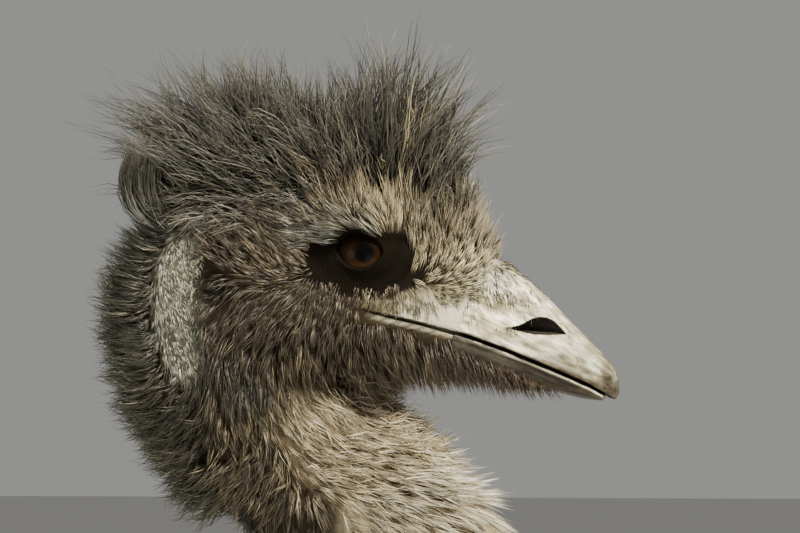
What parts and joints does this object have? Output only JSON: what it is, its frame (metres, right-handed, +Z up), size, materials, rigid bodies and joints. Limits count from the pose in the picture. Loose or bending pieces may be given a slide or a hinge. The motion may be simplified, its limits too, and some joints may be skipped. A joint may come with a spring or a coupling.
{
  "type": "emu",
  "caption": "Life-size adult emu standing still with its neck drawn back in an S, shaggy all over, with bare scaled shanks and three-toed feet.",
  "frame": {"origin": "on the floor, under the middle of the whole bird's box", "axes": "+X towards the bill, +Y to the bird's left, +Z up"},
  "size_m": [0.8451, 0.4178, 1.585],
  "materials": {
    "plumage": "matte shaggy feathers",
    "bill_horn": "satin horn",
    "scaly_skin": "dry scaly skin",
    "claw_horn": "satin horn",
    "eye": "wet gloss"
  },
  "bodies": {
    "root": {"head": "plumage", "bill_upper": "bill_horn", "bill_lower": "bill_horn", "eye_left": "eye", "eye_right": "eye", "neck_upper": "plumage", "neck_middle": "plumage", "neck_lower": "plumage", "torso": "plumage", "tail": "plumage", "wing_left": "plumage", "wing_right": "plumage", "leg_upper_left": "plumage", "leg_upper_right": "plumage", "leg_lower_left": "scaly_skin", "leg_lower_right": "scaly_skin", "toe_inner_left": "scaly_skin", "toe_middle_left": "scaly_skin", "toe_outer_left": "scaly_skin", "toe_inner_right": "scaly_skin", "toe_middle_right": "scaly_skin", "toe_outer_right": "scaly_skin", "claw_inner_left": "claw_horn", "claw_middle_left": "claw_horn", "claw_outer_left": "claw_horn", "claw_inner_right": "claw_horn", "claw_middle_right": "claw_horn", "claw_outer_right": "claw_horn"}
  },
  "joints": []
}
